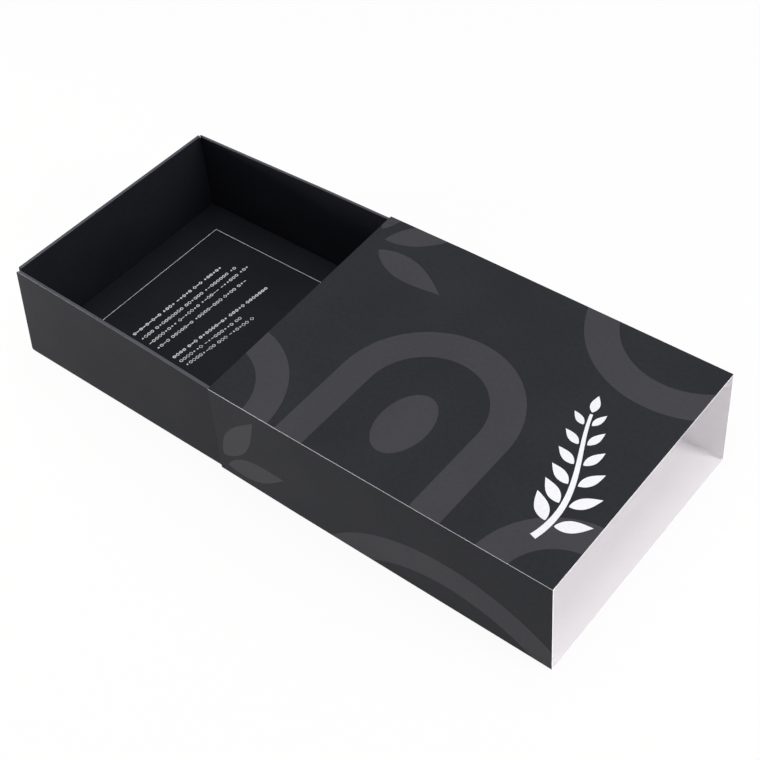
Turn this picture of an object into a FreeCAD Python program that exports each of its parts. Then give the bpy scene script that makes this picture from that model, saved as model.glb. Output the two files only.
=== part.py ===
"""A sliding drawer gift box: a card sleeve, the double-walled tray that slides in it, and a platform.

Each of the three is one folded card blank, and every panel, flap and tab of a blank is a solid here.
Millimetres. X is the way the tray slides, its pull end towards -X. -Y is the front side, and +Z is up.
The origin is at the middle of the whole object's footprint, on the surface that the sleeve lies on.
"""

import os

import FreeCAD
import Part

# Sleeve
sleeve_length = 203.0
sleeve_width = 150.0
sleeve_height = 61.5
sleeve_card = 0.5
glue_flap_width = 18.0
glue_flap_taper = 4.0

# Tray
tray_card = 0.45
tuck_flap_width = 13.0
corner_tab_length = 26.0
corner_tab_taper = 6.0
corner_relief = 1.2
rim_end_slant = 0.7

# Platform
platform_card = 0.5
platform_height = 4.6

# Fits
pulled_out = 146.5
end_setback = 0.5
side_clearance = 0.4
base_clearance = 0.3
top_clearance = 0.3
ply_clearance = 0.15
platform_clearance = 0.3
fold_inner_radius = 0.2

# Sleeve, worked out
sleeve_fold = fold_inner_radius + sleeve_card
overall_length = pulled_out + sleeve_length
sleeve_end_x = overall_length / 2
sleeve_mouth_x = sleeve_end_x - sleeve_length

# Tray, worked out
tray_length = sleeve_length - 2 * end_setback
tray_width = sleeve_width - 2 * sleeve_card - 2 * side_clearance
tray_height = sleeve_height - 3 * sleeve_card - base_clearance - top_clearance
tray_centre_x = tray_length / 2 - overall_length / 2
tray_base_z = sleeve_card + base_clearance
half_length = tray_length / 2
half_width = tray_width / 2
wall_gap = tray_card + 2 * ply_clearance
wall_thickness = 2 * tray_card + wall_gap
floor_fold = fold_inner_radius + tray_card
rim_inner_radius = min(fold_inner_radius, wall_gap / 2)
rim_fold = rim_inner_radius + tray_card

# Platform, worked out
platform_base = 2 * tray_card
platform_fold = fold_inner_radius + platform_card
half_platform_length = half_length - wall_thickness - platform_clearance
half_platform_width = half_width - wall_thickness - platform_clearance

ALONG = FreeCAD.Vector(1, 0, 0)
INWARD = FreeCAD.Vector(0, 1, 0)
OUTWARD = FreeCAD.Vector(0, -1, 0)
UP = FreeCAD.Vector(0, 0, 1)
CENTRE = FreeCAD.Vector(0, 0, 0)
LEFT = 1
RIGHT = -1
TOUCHING = 1e-6


class CardSection:
    """A folded card seen end on, drawn along its middle layer as a pen would draw it."""

    def __init__(self, point, heading, view, card):
        """The pen starts at a point with a heading, in the plane that faces the view direction."""
        self.point = point
        self.heading = heading
        self.view = view
        self.card = card

    def run(self, length):
        """A flat stretch of the card, as a face."""
        side = self.view.cross(self.heading) * (self.card / 2)
        start = self.point
        end = start + self.heading * length
        self.point = end
        return Part.Face(Part.makePolygon([start + side, start - side, end - side, end + side, start + side]))

    def fold(self, turn, inner):
        """A quarter turn of the card, to the left or right, round a fold of this inner radius, as a face."""
        outer = inner + self.card
        first = self.view.cross(self.heading) * -turn
        last = self.heading
        middle = (first + last).normalize()
        centre = self.point - first * (inner + self.card / 2)
        outer_arc = Part.Arc(centre + first * outer, centre + middle * outer, centre + last * outer)
        inner_arc = Part.Arc(centre + last * inner, centre + middle * inner, centre + first * inner)
        edges = [
            outer_arc.toShape(),
            Part.makeLine(centre + last * outer, centre + last * inner),
            inner_arc.toShape(),
            Part.makeLine(centre + first * inner, centre + first * outer),
        ]
        self.point = centre + last * (inner + self.card / 2)
        self.heading = first * -1
        return Part.Face(Part.Wire(edges))


def along(face, half):
    """A section face drawn out along X, the same way to both sides of the middle."""
    return face.translated(ALONG * -half).extrude(ALONG * (2 * half))


def joined(*solids):
    """One solid from stretches of the same card."""
    return solids[0].fuse(list(solids[1:])).removeSplitter()


def flat_card(corners, z, card):
    """A flat piece of card with this outline, its underside at height z."""
    points = [FreeCAD.Vector(x, y, z) for x, y in corners]
    return Part.Face(Part.makePolygon(points + points[:1])).extrude(UP * card)


def rectangle_of_card(half_x, half_y, z, card):
    """A flat rectangle of card about the middle."""
    return flat_card([(-half_x, -half_y), (half_x, -half_y), (half_x, half_y), (-half_x, half_y)], z, card)


def flap(half_base, base_y, width, taper, z, card):
    """A flat flap that runs from its fold towards +Y and narrows by the taper at each end."""
    half_tip = half_base - taper
    tip_y = base_y + width
    return flat_card([(-half_base, base_y), (half_base, base_y), (half_tip, tip_y), (-half_tip, tip_y)], z, card)


def with_round_corners(plate, half, heights):
    """An upright plate with its corners at these heights rounded, as the die cuts them."""
    edges = []
    for edge in plate.Edges:
        middle = edge.CenterOfMass
        goes_through = abs(edge.Vertexes[0].Y - edge.Vertexes[-1].Y) > TOUCHING
        at_end = abs(abs(middle.x) - half) < TOUCHING
        at_height = any(abs(middle.z - height) < TOUCHING for height in heights)
        if goes_through and at_end and at_height:
            edges.append(edge)
    return plate.makeFillet(corner_relief, edges)


def sleeve_nodes():
    """The panels of the sleeve, from the glue flap round to the raw front edge of the top panel."""
    half = sleeve_length / 2
    fold_y = sleeve_fold - sleeve_width / 2
    flap_z = sleeve_height - 2 * sleeve_card
    start = FreeCAD.Vector(0, fold_y, flap_z + sleeve_card / 2)
    section = CardSection(start, OUTWARD, ALONG, sleeve_card)
    flap_fold = section.fold(LEFT, fold_inner_radius)
    front = section.run(sleeve_height - sleeve_card - 2 * sleeve_fold)
    front_fold = section.fold(LEFT, fold_inner_radius)
    bottom = section.run(sleeve_width - 2 * sleeve_fold)
    lower_back_fold = section.fold(LEFT, fold_inner_radius)
    back = section.run(sleeve_height - 2 * sleeve_fold)
    upper_back_fold = section.fold(LEFT, fold_inner_radius)
    top = section.run(sleeve_width - sleeve_fold)
    glue_flap = flap(half, fold_y, glue_flap_width, glue_flap_taper, flap_z, sleeve_card)
    nodes = {
        "sleeve_glue_flap": joined(along(flap_fold, half), glue_flap),
        "sleeve_front_panel": joined(along(front, half), along(front_fold, half)),
        "sleeve_bottom_panel": along(bottom, half),
        "sleeve_back_panel": joined(along(back, half), along(lower_back_fold, half), along(upper_back_fold, half)),
        "sleeve_top_panel": along(top, half),
    }
    return moved(nodes, FreeCAD.Vector(sleeve_end_x - half, 0, 0))


def double_wall(half_outer, half_fold, half_rim, half_inner, half_tuck, round_heights, slant):
    """One double wall of the tray, its outer face on y = 0 and the inside of the tray towards +Y.

    The halves are half lengths along X: of the outer wall, its fold at the floor, the rim, the inner
    wall, and the tuck flap with its fold. The rim's ends slant in towards the inside by the slant.
    """
    section = CardSection(FreeCAD.Vector(0, floor_fold, tray_card / 2), OUTWARD, ALONG, tray_card)
    outer_fold = section.fold(RIGHT, fold_inner_radius)
    outer = section.run(tray_height - floor_fold - rim_fold)
    outer_rim_fold = section.fold(RIGHT, rim_inner_radius)
    rim_top = section.run(wall_thickness - 2 * rim_fold)
    inner_rim_fold = section.fold(RIGHT, rim_inner_radius)
    inner = section.run(tray_height - rim_fold - floor_fold - tray_card)
    inner_fold = section.fold(LEFT, fold_inner_radius)
    rim = joined(along(outer_rim_fold, half_rim), along(rim_top, half_rim), along(inner_rim_fold, half_rim))
    outer_plate = with_round_corners(along(outer, half_outer), half_outer, round_heights)
    tuck_y = wall_thickness + fold_inner_radius
    return {
        "outer_wall": joined(along(outer_fold, half_fold), outer_plate),
        "rim": rim.common(flap(half_rim, 0, wall_thickness, slant, 0, tray_height)),
        "inner_wall": joined(along(inner, half_inner), along(inner_fold, half_tuck)),
        "tuck_flap": flap(half_tuck, tuck_y, tuck_flap_width, tuck_flap_width, tray_card, tray_card),
    }


def round_the_tray(pieces, turns, half_x, half_y):
    """Pieces drawn on the front side's y = 0, set against the side that is some quarter turns round."""
    distance = half_x if turns % 2 else half_y
    placed = moved(pieces, OUTWARD * distance)
    return {name: solid.rotated(CENTRE, UP, 90 * turns) for name, solid in placed.items()}


def moved(pieces, place):
    """The pieces, each moved by the same vector."""
    return {name: solid.translated(place) for name, solid in pieces.items()}


def tray_wall_nodes():
    """The four double walls. The long walls run from end to end, and the end walls fit between them."""
    tuck_setback = wall_thickness + fold_inner_radius + ply_clearance
    long_wall = double_wall(
        half_outer=half_length,
        half_fold=half_length - floor_fold - corner_relief,
        half_rim=half_length,
        half_inner=half_length - tray_card - ply_clearance,
        half_tuck=half_length - tuck_setback,
        round_heights=[floor_fold],
        slant=rim_end_slant,
    )
    half_end = half_width - tray_card - ply_clearance - floor_fold
    end_wall = double_wall(
        half_outer=half_end,
        half_fold=half_end - corner_relief,
        half_rim=half_width - wall_thickness - ply_clearance,
        half_inner=half_width - wall_thickness - ply_clearance,
        half_tuck=half_width - tuck_setback,
        round_heights=[floor_fold, tray_height - rim_fold],
        slant=0,
    )
    nodes = {}
    sides = {"front": (long_wall, 0), "inner_end": (end_wall, 1), "back": (long_wall, 2), "pull_end": (end_wall, 3)}
    for side, (wall, turns) in sides.items():
        for piece, solid in round_the_tray(wall, turns, half_length, half_width).items():
            nodes[f"tray_{side}_{piece}"] = solid
    return nodes


def corner_tab():
    """The tab at the front corner of the pull end, from the end wall round into the long wall's gap."""
    low = floor_fold + corner_relief
    high = tray_height - rim_fold - corner_relief
    tab_y = tray_card + ply_clearance - half_width
    start = FreeCAD.Vector(tray_card / 2 - half_length, tab_y + floor_fold, low)
    fold = CardSection(start, OUTWARD, UP, tray_card).fold(LEFT, fold_inner_radius).extrude(UP * (high - low))
    root_x = floor_fold - half_length
    tip_x = root_x + corner_tab_length
    outline = [(root_x, low), (tip_x, low + corner_tab_taper), (tip_x, high - corner_tab_taper), (root_x, high)]
    points = [FreeCAD.Vector(x, tab_y, z) for x, z in outline]
    tab = Part.Face(Part.makePolygon(points + points[:1])).extrude(INWARD * tray_card)
    return joined(fold, tab)


def corner_tab_nodes():
    """A tab at each corner of the tray, four mirror images of one."""
    front_pull = corner_tab()
    back_pull = front_pull.mirror(CENTRE, INWARD)
    return {
        "tray_corner_tab_front_pull": front_pull,
        "tray_corner_tab_back_pull": back_pull,
        "tray_corner_tab_front_inner": front_pull.mirror(CENTRE, ALONG),
        "tray_corner_tab_back_inner": back_pull.mirror(CENTRE, ALONG),
    }


def platform_leg(half):
    """One folded leg of the platform, its outer face on y = 0, standing on the tuck flaps."""
    top_z = platform_base + platform_height
    start = FreeCAD.Vector(0, platform_fold, top_z - platform_card / 2)
    section = CardSection(start, OUTWARD, ALONG, platform_card)
    fold = section.fold(LEFT, fold_inner_radius)
    leg = section.run(platform_height - platform_fold)
    return joined(along(fold, half), along(leg, half))


def platform_nodes():
    """The platform's panel and the four legs that hold it above the tray's floor."""
    half_panel_x = half_platform_length - platform_fold
    half_panel_y = half_platform_width - platform_fold
    panel_z = platform_base + platform_height - platform_card
    nodes = {"platform_panel": rectangle_of_card(half_panel_x, half_panel_y, panel_z, platform_card)}
    for turns, side in enumerate(["front", "inner_end", "back", "pull_end"]):
        leg = {f"platform_leg_{side}": platform_leg(half_panel_y if turns % 2 else half_panel_x)}
        nodes.update(round_the_tray(leg, turns, half_platform_length, half_platform_width))
    return nodes


def tray_nodes():
    """The tray with the platform in it, where it stands when it is pulled part of the way out."""
    tray_floor = rectangle_of_card(half_length - floor_fold, half_width - floor_fold, 0, tray_card)
    nodes = {"tray_floor": tray_floor}
    nodes.update(tray_wall_nodes())
    nodes.update(corner_tab_nodes())
    nodes.update(platform_nodes())
    return moved(nodes, FreeCAD.Vector(tray_centre_x, 0, tray_base_z))


os.makedirs("parts", exist_ok=True)
for node, shape in {**sleeve_nodes(), **tray_nodes()}.items():
    shape.exportStep(f"parts/{node}.step")
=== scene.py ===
"""The looks of a sliding drawer gift box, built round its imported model.

Three card blanks are folded here the way a box maker folds them: the sleeve, laminated black outside
and plain white inside; the tray, whose walls are rolled double; and the printed platform in the tray.
Metres throughout. X is the way the tray slides, its pull end towards -X. -Y is the front side, +Z is up.
"""

import logging
import math
import random
from contextlib import AbstractContextManager, contextmanager
from dataclasses import dataclass, replace
from enum import Enum
from typing import Callable, Iterator, Sequence

import bmesh
import bpy
from mathutils import Matrix, Vector


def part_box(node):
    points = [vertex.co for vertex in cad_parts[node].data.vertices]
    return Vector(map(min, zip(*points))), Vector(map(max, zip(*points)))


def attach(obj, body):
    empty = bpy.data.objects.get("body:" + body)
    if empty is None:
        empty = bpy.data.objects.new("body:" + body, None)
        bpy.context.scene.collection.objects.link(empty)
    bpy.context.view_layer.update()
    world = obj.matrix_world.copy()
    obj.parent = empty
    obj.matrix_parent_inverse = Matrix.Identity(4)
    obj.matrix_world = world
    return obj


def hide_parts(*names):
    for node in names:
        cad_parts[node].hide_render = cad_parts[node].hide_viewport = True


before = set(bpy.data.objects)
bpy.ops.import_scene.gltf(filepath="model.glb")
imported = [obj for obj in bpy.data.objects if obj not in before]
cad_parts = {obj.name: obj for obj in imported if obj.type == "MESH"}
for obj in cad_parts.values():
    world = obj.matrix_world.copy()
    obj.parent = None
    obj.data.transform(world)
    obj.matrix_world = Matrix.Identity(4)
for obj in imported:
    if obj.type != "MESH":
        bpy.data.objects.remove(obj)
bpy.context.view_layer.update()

MM = 0.001
INK = 0.02 * MM
# Points nearer than the first are one point, and those nearer than the second lie on one line.
TINY = 1e-6
WELD = 1e-5
# A card's facets are shaded as one below the first angle, and its cut edges are rounded above the second.
SMOOTH_BELOW = math.radians(40)
ROUND_ABOVE = math.radians(50)
# A face looks along an axis where that part of its normal is more than this.
FACING = 0.9
# How many facets a fold has, a die-cut corner, and a rounded edge of card.
FOLD_STEPS, CORNER_STEPS, EDGE_STEPS = 6, 4, 2

Piece = bpy.types.Object
Point = tuple[float, float] | Vector
Outline = list[Point]
Place = tuple[float, float, float]
Test = Callable[[Vector], bool]
Element = bmesh.types.BMVert | bmesh.types.BMFace

log = logging.getLogger("gift_box")


class Body(Enum):
    """The two bodies that the slide joins."""

    SLEEVE = "sleeve"
    DRAWER = "drawer"


class Slot(Enum):
    """The material slots of the record."""

    SLEEVE = "sleeve_board"
    TRAY = "tray_board"
    PLATFORM = "platform_board"


class Side(Enum):
    """A side of the tray, by the quarter turns that bring the front side round to it."""

    FRONT = 0
    INNER_END = 1
    BACK = 2
    PULL_END = 3

    @property
    def word(self) -> str:
        """The side's name as the nodes have it."""
        return self.name.lower()

    @property
    def is_end(self) -> bool:
        """Whether the side is one of the two short ends."""
        return self in (Side.INNER_END, Side.PULL_END)


class Turn(Enum):
    """Which way a strip of card turns at a fold, seen along X with Y to the right and Z up."""

    LEFT = 1
    RIGHT = -1


class Face(Enum):
    """The slots of a card piece's mesh: its two faces and its cut edge, each plain and with an accent."""

    PRINTED = 0
    ACCENT = 1
    REVERSE = 2
    REVERSE_ACCENT = 3
    EDGE = 4
    EDGE_ACCENT = 5


# Finishes


def linear(hex_colour: str) -> tuple[float, float, float, float]:
    """Turns an sRGB hex colour to the linear values that a shader takes.

    Args:
        hex_colour: Six hex digits.

    Returns:
        Red, green, blue and an alpha of 1.
    """
    channels = [int(hex_colour[i : i + 2], 16) / 255 for i in (0, 2, 4)]
    spread = [c / 12.92 if c <= 0.04045 else ((c + 0.055) / 1.055) ** 2.4 for c in channels]
    return (*spread, 1.0)


def add_node(tree: bpy.types.NodeTree, kind: str, inputs: dict | None = None, **settings) -> bpy.types.Node:
    """Adds a shader node with its settings, its values and its links.

    Args:
        tree: The node tree that gets it.
        kind: The node's type after ShaderNode, such as TexNoise.
        inputs: A value, a socket to link, or a node to link the first output of, by the input's name.
        **settings: The node's own properties.

    Returns:
        The node.
    """
    node = tree.nodes.new("ShaderNode" + kind)
    for name, value in settings.items():
        setattr(node, name, value)
    for key, value in (inputs or {}).items():
        if isinstance(value, bpy.types.Node):
            value = value.outputs[0]
        if isinstance(value, bpy.types.NodeSocket):
            tree.links.new(value, node.inputs[key])
        else:
            node.inputs[key].default_value = value
    return node


def emptied(owner: bpy.types.Material | bpy.types.World) -> bpy.types.NodeTree:
    """The node tree of a material or a world, turned on and emptied."""
    owner.use_nodes = True
    owner.node_tree.nodes.clear()
    return owner.node_tree


@dataclass(frozen=True)
class BoardFinish:
    """The finish of one face of a folding boxboard: print, film or bare fibre over a paper core.

    Boxboard is pressed fibre, so under any print its tone clouds at a few millimetres, and its surface
    keeps a fine grain. A matt film over it scatters what it reflects widely and evenly.
    """

    name: str
    colour: str
    cloud_colour: str
    roughness: float
    specular: float
    cloud_size: float = 2.2 * MM
    drift_size: float = 38 * MM
    grain_size: float = 0.35 * MM
    grain_stretch: float = 1.0
    grain_depth: float = 0.004 * MM
    grain_strength: float = 0.35
    roughness_spread: float = 0.05

    # What the two cloud noises add up to, from the darkest blotch to the palest.
    CLOUD_RANGE = (0.75, 1.25)
    # How many octaves the clouding, its slow drift and the grain have.
    CLOUD_DETAIL, DRIFT_DETAIL, GRAIN_DETAIL = 3.0, 1.0, 2.0

    def material(self) -> bpy.types.Material:
        """Gives the material that an earlier piece made, or builds it."""
        return bpy.data.materials.get(self.name) or self._build()

    def _build(self) -> bpy.types.Material:
        """Lays out the nodes: clouding in the colour, grain in the roughness and the bump."""
        material = bpy.data.materials.new(self.name)
        tree = emptied(material)
        place = add_node(tree, "TexCoord").outputs["Object"]
        stretched = add_node(tree, "Mapping", {"Vector": place, "Scale": (1 / self.grain_stretch, 1.0, 1.0)})
        clouds, drift, grain = (
            add_node(tree, "TexNoise", {"Vector": vector, "Scale": 1 / size, "Detail": detail})
            for vector, size, detail in (
                (place, self.cloud_size, self.CLOUD_DETAIL),
                (place, self.drift_size, self.DRIFT_DETAIL),
                (stretched, self.grain_size, self.GRAIN_DETAIL),
            )
        )
        both = add_node(tree, "Math", {0: clouds, 1: drift}, operation="ADD")
        dark, pale = self.CLOUD_RANGE
        share = add_node(tree, "MapRange", {"Value": both, "From Min": dark, "From Max": pale})
        tones = {"Factor": share, "A": linear(self.colour), "B": linear(self.cloud_colour)}
        least, most = self.roughness - self.roughness_spread, self.roughness + self.roughness_spread
        relief = {"Height": grain, "Strength": self.grain_strength, "Distance": self.grain_depth}
        surface = {
            "Base Color": add_node(tree, "Mix", tones, data_type="RGBA").outputs["Result"],
            "Roughness": add_node(tree, "MapRange", {"Value": grain, "To Min": least, "To Max": most}),
            "Normal": add_node(tree, "Bump", relief),
            "Specular IOR Level": self.specular,
        }
        add_node(tree, "OutputMaterial", {"Surface": add_node(tree, "BsdfPrincipled", surface)})
        return material


# Soft-touch matt film over black ink: velvety, a deep blue-black, with the board's clouding faintly through.
LAMINATE = BoardFinish("soft_touch_laminate_black", "25262a", "2a2b2f", roughness=0.62, specular=0.08)
# The same film over a tint of the black: the tone-on-tone pattern.
LAMINATE_TINT = replace(LAMINATE, name="soft_touch_laminate_tint", colour="3e3d41", cloud_colour="424145")
# The uncoated reverse of solid bleached board: warm white, its fibres lying along the slide.
BARE_BOARD = BoardFinish(
    "uncoated_white_board",
    "f6f2f4",
    "f7f5f6",
    cloud_size=1.4 * MM,
    grain_size=0.3 * MM,
    grain_stretch=6.0,
    grain_depth=0.012 * MM,
    roughness=0.85,
    specular=0.3,
)
# The ridge that creasing raises inside a fold: the same board, painted brighter as a highlight along the
# crease.
CREASE_PAINTED_HIGHLIGHT = replace(BARE_BOARD, name="crease_bead_painted_highlight", colour="fcfafb", cloud_colour="f8f6f7")
# The core of that board where the die cut it: bright, and rough from the cut.
CUT_EDGE = BoardFinish(
    "die_cut_white_edge",
    "f1eef0",
    "dcd8da",
    cloud_size=0.8 * MM,
    grain_size=0.12 * MM,
    grain_depth=0.02 * MM,
    roughness=0.9,
    specular=0.2,
)
# The same core along the glued seam, given a greyer colour than the other cut edges.
SEAM_EDGE = BoardFinish(
    "greyer_edge_at_seam",
    "bcbabf",
    "cfcdd1",
    cloud_size=0.9 * MM,
    grain_size=0.15 * MM,
    grain_depth=0.015 * MM,
    roughness=0.85,
    specular=0.2,
)
# Dyed black board of the tray, with the same film as the sleeve.
TRAY_BOARD = BoardFinish("matt_black_tray_board", "17181d", "1c1d22", roughness=0.6, specular=0.1)
# Its rolled rim, where the film is stretched over two close folds and greys. Its lighter grey is partly that
# real whitening and partly a painted highlight, standing in for the light that the round folds catch.
TRAY_RIM_FILM_AND_HIGHLIGHT = BoardFinish(
    "stretched_film_at_rim", "3a3b43", "42434c", cloud_size=1.2 * MM, roughness=0.42, specular=0.34
)
# Its cut edge: dyed through, so dark grey.
TRAY_EDGE = BoardFinish(
    "die_cut_black_edge", "18181b", "222225", cloud_size=0.8 * MM, roughness=0.85, specular=0.3
)
# Matt black card of the platform, printed but not filmed, so with a closer grain and a little more shine.
PLATFORM_CARD = replace(TRAY_BOARD, name="matt_black_platform_card", grain_size=0.3 * MM, specular=0.12)
# Opaque white screen ink, a film thick enough to feel.
WHITE_INK = BoardFinish(
    "white_screen_ink", "f4f3f4", "e9e8ea", cloud_size=1.0 * MM, roughness=0.6, specular=0.4
)

SLEEVE_FACES = (LAMINATE, LAMINATE_TINT, BARE_BOARD, BARE_BOARD, CUT_EDGE, SEAM_EDGE)
TRAY_FACES = (TRAY_BOARD, TRAY_RIM_FILM_AND_HIGHLIGHT, TRAY_BOARD, TRAY_BOARD, TRAY_EDGE, TRAY_EDGE)
PLATFORM_FACES = (PLATFORM_CARD,) * Face.EDGE.value + (TRAY_EDGE, TRAY_EDGE)


# Working with operators


def activate(piece: Piece) -> None:
    """Makes this the one selected object, and the active one."""
    bpy.ops.object.select_all(action="DESELECT")
    piece.select_set(True)
    bpy.context.view_layer.objects.active = piece


def added(name: str, operator: Callable[..., set[str]], **settings) -> Piece:
    """Adds an object, with nothing else selected.

    Args:
        name: What it is called.
        operator: The operator that adds it.
        **settings: The operator's own settings.

    Returns:
        The object.
    """
    bpy.ops.object.select_all(action="DESELECT")
    operator(**settings)
    piece = bpy.context.view_layer.objects.active
    piece.name = piece.data.name = name
    return piece


def joined(pieces: Sequence[Piece]) -> Piece:
    """Joins pieces into the first of them."""
    activate(pieces[0])
    for piece in pieces:
        piece.select_set(True)
    bpy.ops.object.join()
    return pieces[0]


@contextmanager
def editing(piece: Piece, test: Callable[[Element], bool] | None = None, by: str = "VERT") -> Iterator[None]:
    """Edit mode on what passes a test, and object mode again afterwards.

    Args:
        piece: The object to edit.
        test: Whether this vertex or face is wanted. With no test, all of it is.
        by: VERT or FACE, what is tested. With vertices goes what lies between them.

    Yields:
        Nothing.
    """
    activate(piece)
    bpy.ops.object.mode_set(mode="EDIT")
    bpy.ops.mesh.select_mode(type=by)
    bpy.ops.mesh.select_all(action="DESELECT")
    mesh = bmesh.from_edit_mesh(piece.data)
    for element in mesh.faces if by == "FACE" else mesh.verts:
        element.select_set(test is None or test(element))
    mesh.select_flush_mode()
    bmesh.update_edit_mesh(piece.data)
    yield
    bpy.ops.object.mode_set(mode="OBJECT")


def merge_doubles(piece: Piece, distance: float = TINY) -> None:
    """Merges the points that were drawn twice."""
    with editing(piece):
        bpy.ops.mesh.remove_doubles(threshold=distance)


def apply_modifier(piece: Piece, kind: str, **settings) -> None:
    """Adds a modifier with its settings and applies it.

    Args:
        piece: The object that gets it.
        kind: The modifier's type, such as SOLIDIFY.
        **settings: The modifier's own properties.
    """
    activate(piece)
    bpy.ops.object.modifier_add(type=kind)
    modifier = piece.modifiers[-1]
    for name, value in settings.items():
        setattr(modifier, name, value)
    bpy.ops.object.modifier_apply(modifier=modifier.name)


def apply_place(piece: Piece) -> None:
    """Puts the object's place, turn and scale into its mesh."""
    activate(piece)
    bpy.ops.object.transform_apply(location=True, rotation=True, scale=True)


def dress(piece: Piece, *finishes: BoardFinish) -> None:
    """Gives a piece its finishes, one for each slot of its mesh. All its faces start in the first."""
    piece.data.materials.clear()
    for finish in finishes:
        piece.data.materials.append(finish.material())


def thicken(piece: Piece, card: float, edge_round: float = 0) -> None:
    """Gives a folded printed face its card: the reverse behind it, and the cut edge all round.

    Args:
        piece: The printed face, its normals outwards.
        card: The thickness of the card.
        edge_round: How far the die has rounded the cut edge.
    """
    slots = {"material_offset": Face.REVERSE.value, "material_offset_rim": Face.EDGE.value}
    apply_modifier(piece, "SOLIDIFY", thickness=card, offset=-1.0, use_even_offset=True, **slots)
    if edge_round:
        limit = {"limit_method": "ANGLE", "angle_limit": ROUND_ABOVE}
        apply_modifier(piece, "BEVEL", width=edge_round, segments=EDGE_STEPS, **limit)


def smooth_folds(piece: Piece) -> None:
    """Shades the folds smooth and keeps the flats flat."""
    activate(piece)
    bpy.ops.object.shade_smooth_by_angle(angle=SMOOTH_BELOW)
    apply_modifier(piece, "WEIGHTED_NORMAL", keep_sharp=True)


def bend_in_cage(
    piece: Piece, low: Vector, high: Vector, steps: int, give: Callable[[int, int, int], Place]
) -> None:
    """Bends a piece by a cage round a box, one cell across and up, and several along X.

    The piece is cut at the cage's stations first, so that it can follow.

    Args:
        piece: The piece, its place in its mesh.
        low: The box's lowest corner.
        high: The box's highest corner.
        steps: How many cells there are along X.
        give: How far a corner moves, in mm, by its station from the low end and the signs of its y and z.
    """
    size = high - low
    for number in range(1, steps):
        with editing(piece):
            bpy.ops.mesh.bisect(plane_co=(low.x + size.x * number / steps, 0, 0), plane_no=(1, 0, 0))
    cage = added("cage", bpy.ops.object.add, type="LATTICE", location=(high + low) / 2)
    cage.scale = size
    cage.data.points_u, cage.data.points_v, cage.data.points_w = steps + 1, 2, 2
    for axis in "uvw":
        setattr(cage.data, f"interpolation_type_{axis}", "KEY_LINEAR")
    for point in cage.data.points:
        at = point.co
        moved = give(round((at.x + 0.5) * steps), 1 if at.y > 0 else -1, 1 if at.z > 0 else -1)
        point.co_deform = at + Vector(part * MM / whole for part, whole in zip(moved, size))
    bpy.context.view_layer.update()
    apply_modifier(piece, "LATTICE", object=cage)
    bpy.data.objects.remove(cage)


def hand_over(piece: Piece, body: Body, replaced: Sequence[str] = ()) -> None:
    """Ties a finished piece to its body and the nodes that it stands for.

    Args:
        piece: The finished object, its place in its mesh.
        body: The body that it moves with.
        replaced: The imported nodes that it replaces.
    """
    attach(piece, body.value)
    if replaced:
        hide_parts(*replaced)
    log.info("%s: %d faces on %s, for %s", piece.name, len(piece.data.polygons), body.value, replaced)


# Flat shapes


def arc_points(centre: Point, radius: float, start: float, end: float, steps: int) -> Outline:
    """Points along an arc, both ends included, its angles in degrees from +x towards +y."""
    angles = [math.radians(start + (end - start) * i / steps) for i in range(steps + 1)]
    return [(centre[0] + radius * math.cos(a), centre[1] + radius * math.sin(a)) for a in angles]


def circle(centre: Point, radius: float, steps: int) -> Outline:
    """Points round a circle."""
    return arc_points(centre, radius, 0, 360, steps)[:-1]


def rectangle(low: Point, high: Point, out: float) -> Outline:
    """A rectangle between two corners, drawn out by a distance on all four sides."""
    left, lower, right, upper = low[0] - out, low[1] - out, high[0] + out, high[1] + out
    return [(left, lower), (right, lower), (right, upper), (left, upper)]


@dataclass(frozen=True)
class Ring:
    """A closed band round a centre."""

    centre: Point
    radius: float
    width: float
    steps: int = 96

    def outlines(self) -> list[Outline]:
        """The outer circle and the inner one."""
        half = self.width / 2
        return [circle(self.centre, self.radius + out, self.steps) for out in (half, -half)]


@dataclass(frozen=True)
class ArcBand:
    """Part of a band round a centre, with round ends."""

    centre: Point
    radius: float
    width: float
    start: float
    end: float
    steps: int = 48
    cap_steps: int = 12

    def outlines(self) -> list[Outline]:
        """One outline: along the outer arc, round one end, back along the inner arc, round the other."""
        half = self.width / 2
        outer = arc_points(self.centre, self.radius + half, self.start, self.end, self.steps)
        inner = arc_points(self.centre, self.radius - half, self.end, self.start, self.steps)
        tip, tail = (arc_points(self.centre, self.radius, a, a, 1)[0] for a in (self.end, self.start))
        far_cap = arc_points(tip, half, self.end, self.end + 180, self.cap_steps)[1:-1]
        near_cap = arc_points(tail, half, self.start + 180, self.start + 360, self.cap_steps)[1:-1]
        return [outer + far_cap + inner + near_cap]


@dataclass(frozen=True)
class Arch:
    """A half ring on two straight legs, open towards -y."""

    centre: Point
    radius: float
    width: float
    leg: float
    steps: int = 40

    def outlines(self) -> list[Outline]:
        """One outline: over the outer half circle, down a leg, back under the inner one, down the other."""
        x, y = self.centre
        inside, outside = self.radius - self.width / 2, self.radius + self.width / 2
        outer = arc_points(self.centre, outside, 0, 180, self.steps)
        inner = arc_points(self.centre, inside, 180, 0, self.steps)
        feet = [(x + out, y - self.leg) for out in (-outside, -inside, inside, outside)]
        return [outer + feet[:2] + inner + feet[2:]]


@dataclass(frozen=True)
class Leaf:
    """A pointed leaf between two points, the same arc on both sides, fullest a little below its middle."""

    base: Point
    tip: Point
    width: float
    steps: int = 22
    lean: float = 0.8

    def outlines(self) -> list[Outline]:
        """One outline, up one side and down the other; the sides bulge as a sine does."""
        along = Vector(self.tip) - Vector(self.base)
        across = Vector((-along.y, along.x)).normalized() * (self.width / 2)
        shares = [i / self.steps for i in range(self.steps + 1)]
        bulges = [across * math.sin(math.pi * share**self.lean) for share in shares]
        one_side, other_side = (
            [Vector(self.base) + along * share + bulge * sign for share, bulge in zip(shares, bulges)]
            for sign in (1, -1)
        )
        return [one_side + other_side[-2:0:-1]]


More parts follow.
